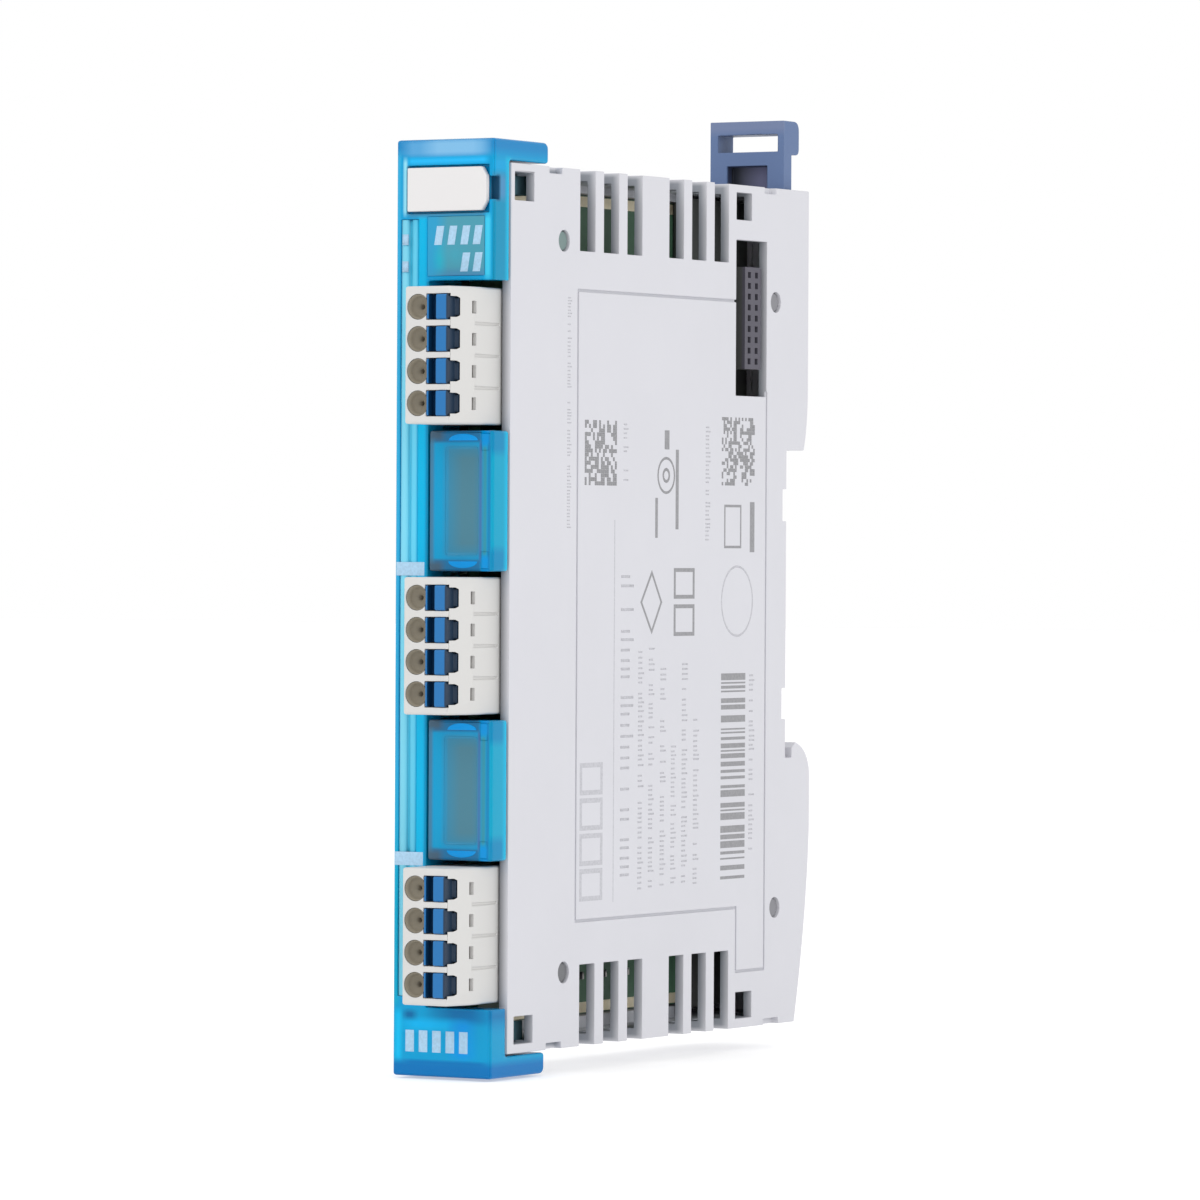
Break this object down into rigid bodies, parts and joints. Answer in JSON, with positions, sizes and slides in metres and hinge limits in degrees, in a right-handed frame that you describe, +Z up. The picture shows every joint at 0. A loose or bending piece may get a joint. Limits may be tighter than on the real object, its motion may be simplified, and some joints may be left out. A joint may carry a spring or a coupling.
{
  "type": "plc module",
  "caption": "Slim grey slice module for a 35 mm rail: translucent blue front, pluggable terminal blocks with blue release buttons, bus contacts, and a sliding rail latch.",
  "frame": {"origin": "middle of the flat face in the rail notch that rests on the rail", "axes": "+Y from the front towards the rail, +Z up along the height, +X to the right seen from the front"},
  "size_m": [0.0154, 0.0787, 0.1099],
  "materials": {
    "housing_plastic": "fine-textured moulded polycarbonate",
    "cover_plastic": "translucent blue polycarbonate, polished",
    "guide_plastic": "clear light guide, polished",
    "tag_plastic": "matt white marker stock",
    "plug_plastic": "fine-textured glass-filled polyamide",
    "button_plastic": "satin polyamide",
    "clamp_metal": "tinned spring steel",
    "contact_plastic": "matt liquid-crystal polymer",
    "latch_plastic": "satin polyamide",
    "board_laminate": "solder mask over glass-epoxy laminate",
    "chip_plastic": "matt moulding compound",
    "capacitor_metal": "bare drawn can",
    "led_plastic": "clear epoxy"
  },
  "bodies": {
    "housing": {"left_shell": "housing_plastic", "right_shell": "housing_plastic", "front_cover": "cover_plastic", "blank_cap_upper": "cover_plastic", "blank_cap_lower": "cover_plastic", "light_guide": "guide_plastic", "marking_tag": "tag_plastic", "pin_header_upper": "contact_plastic", "pin_header_middle": "contact_plastic", "pin_header_lower": "contact_plastic", "bus_socket": "contact_plastic", "bus_plug": "contact_plastic", "insulating_shield": "contact_plastic", "main_board": "board_laminate", "controller_chip": "chip_plastic", "converter_chip": "chip_plastic", "isolator_chip": "chip_plastic", "isolation_transformer": "chip_plastic", "power_inductor": "chip_plastic", "capacitor_1": "capacitor_metal", "capacitor_2": "capacitor_metal", "status_led_1": "led_plastic", "status_led_2": "led_plastic", "status_led_3": "led_plastic", "status_led_4": "led_plastic"},
    "rail_latch": {"rail_latch": "latch_plastic"},
    "plug_upper": {"plug_body_upper": "plug_plastic", "wire_clamp_upper_1": "clamp_metal", "wire_clamp_upper_2": "clamp_metal", "wire_clamp_upper_3": "clamp_metal", "wire_clamp_upper_4": "clamp_metal"},
    "button_upper_1": {"release_button_upper_1": "button_plastic"},
    "button_upper_2": {"release_button_upper_2": "button_plastic"},
    "button_upper_3": {"release_button_upper_3": "button_plastic"},
    "button_upper_4": {"release_button_upper_4": "button_plastic"},
    "plug_middle": {"plug_body_middle": "plug_plastic", "wire_clamp_middle_1": "clamp_metal", "wire_clamp_middle_2": "clamp_metal", "wire_clamp_middle_3": "clamp_metal", "wire_clamp_middle_4": "clamp_metal"},
    "button_middle_1": {"release_button_middle_1": "button_plastic"},
    "button_middle_2": {"release_button_middle_2": "button_plastic"},
    "button_middle_3": {"release_button_middle_3": "button_plastic"},
    "button_middle_4": {"release_button_middle_4": "button_plastic"},
    "plug_lower": {"plug_body_lower": "plug_plastic", "wire_clamp_lower_1": "clamp_metal", "wire_clamp_lower_2": "clamp_metal", "wire_clamp_lower_3": "clamp_metal", "wire_clamp_lower_4": "clamp_metal"},
    "button_lower_1": {"release_button_lower_1": "button_plastic"},
    "button_lower_2": {"release_button_lower_2": "button_plastic"},
    "button_lower_3": {"release_button_lower_3": "button_plastic"},
    "button_lower_4": {"release_button_lower_4": "button_plastic"}
  },
  "joints": [
    {"name": "latch_slide", "type": "slide", "parent": "housing", "child": "rail_latch", "axis": [0, 0, 1], "range_m": [-0.0035, 0]},
    {"name": "plug_upper_pull", "type": "slide", "parent": "housing", "child": "plug_upper", "axis": [0, -1, 0], "range_m": [0, 0.011]},
    {"name": "press_upper_1", "type": "slide", "parent": "plug_upper", "child": "button_upper_1", "axis": [0, 1, 0], "range_m": [0, 0.0012], "stiffness_N_per_m": 500},
    {"name": "press_upper_2", "type": "slide", "parent": "plug_upper", "child": "button_upper_2", "axis": [0, 1, 0], "range_m": [0, 0.0012], "stiffness_N_per_m": 500},
    {"name": "press_upper_3", "type": "slide", "parent": "plug_upper", "child": "button_upper_3", "axis": [0, 1, 0], "range_m": [0, 0.0012], "stiffness_N_per_m": 500},
    {"name": "press_upper_4", "type": "slide", "parent": "plug_upper", "child": "button_upper_4", "axis": [0, 1, 0], "range_m": [0, 0.0012], "stiffness_N_per_m": 500},
    {"name": "plug_middle_pull", "type": "slide", "parent": "housing", "child": "plug_middle", "axis": [0, -1, 0], "range_m": [0, 0.011]},
    {"name": "press_middle_1", "type": "slide", "parent": "plug_middle", "child": "button_middle_1", "axis": [0, 1, 0], "range_m": [0, 0.0012], "stiffness_N_per_m": 500},
    {"name": "press_middle_2", "type": "slide", "parent": "plug_middle", "child": "button_middle_2", "axis": [0, 1, 0], "range_m": [0, 0.0012], "stiffness_N_per_m": 500},
    {"name": "press_middle_3", "type": "slide", "parent": "plug_middle", "child": "button_middle_3", "axis": [0, 1, 0], "range_m": [0, 0.0012], "stiffness_N_per_m": 500},
    {"name": "press_middle_4", "type": "slide", "parent": "plug_middle", "child": "button_middle_4", "axis": [0, 1, 0], "range_m": [0, 0.0012], "stiffness_N_per_m": 500},
    {"name": "plug_lower_pull", "type": "slide", "parent": "housing", "child": "plug_lower", "axis": [0, -1, 0], "range_m": [0, 0.011]},
    {"name": "press_lower_1", "type": "slide", "parent": "plug_lower", "child": "button_lower_1", "axis": [0, 1, 0], "range_m": [0, 0.0012], "stiffness_N_per_m": 500},
    {"name": "press_lower_2", "type": "slide", "parent": "plug_lower", "child": "button_lower_2", "axis": [0, 1, 0], "range_m": [0, 0.0012], "stiffness_N_per_m": 500},
    {"name": "press_lower_3", "type": "slide", "parent": "plug_lower", "child": "button_lower_3", "axis": [0, 1, 0], "range_m": [0, 0.0012], "stiffness_N_per_m": 500},
    {"name": "press_lower_4", "type": "slide", "parent": "plug_lower", "child": "button_lower_4", "axis": [0, 1, 0], "range_m": [0, 0.0012], "stiffness_N_per_m": 500}
  ]
}
